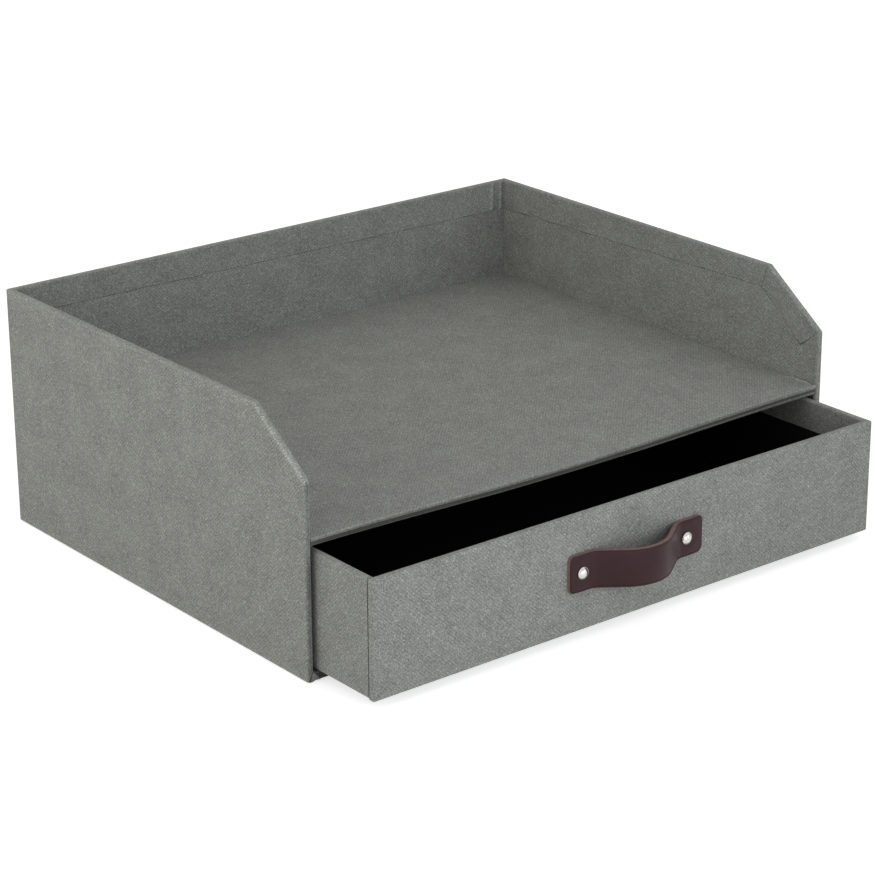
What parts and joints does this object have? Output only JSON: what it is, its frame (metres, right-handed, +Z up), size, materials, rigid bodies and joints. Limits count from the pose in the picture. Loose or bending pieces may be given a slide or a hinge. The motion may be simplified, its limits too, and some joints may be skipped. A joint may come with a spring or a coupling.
{
  "type": "letter tray with drawer",
  "caption": "Desk letter tray of covered fibreboard: open tray with sloped front corners over a shallow drawer with a leather strap handle.",
  "frame": {"origin": "middle of the underside of the case, on the surface it stands on", "axes": "+X to the right seen from the front, +Y from the front to the back, +Z up"},
  "size_m": [0.33, 0.3135, 0.127],
  "materials": {
    "grey_covering": "matte",
    "fibreboard": "matte",
    "black_lining": "matte",
    "brown_leather": "satin",
    "polished_nickel": "polished"
  },
  "bodies": {
    "case": {"left_side_board": "fibreboard", "right_side_board": "fibreboard", "back_board": "fibreboard", "base_board": "fibreboard", "outer_cover": "grey_covering", "left_lining": "grey_covering", "right_lining": "grey_covering", "back_lining": "grey_covering", "base_cover": "grey_covering", "base_sheet": "grey_covering", "shelf_board": "fibreboard", "shelf_cover": "grey_covering", "shelf_underside_sheet": "grey_covering"},
    "drawer": {"drawer_front_board": "fibreboard", "drawer_left_board": "fibreboard", "drawer_right_board": "fibreboard", "drawer_back_board": "fibreboard", "drawer_base_board": "fibreboard", "drawer_front_cover": "grey_covering", "drawer_wrap": "grey_covering", "drawer_underside_sheet": "grey_covering", "drawer_floor_lining": "black_lining", "drawer_wall_lining": "black_lining", "handle_strap": "brown_leather", "left_rivet": "polished_nickel", "right_rivet": "polished_nickel", "left_rivet_cap": "polished_nickel", "right_rivet_cap": "polished_nickel"}
  },
  "joints": [
    {"name": "drawer_slide", "type": "slide", "parent": "case", "child": "drawer", "axis": [0, -1, 0], "range_m": [-0.042, 0.166]}
  ]
}
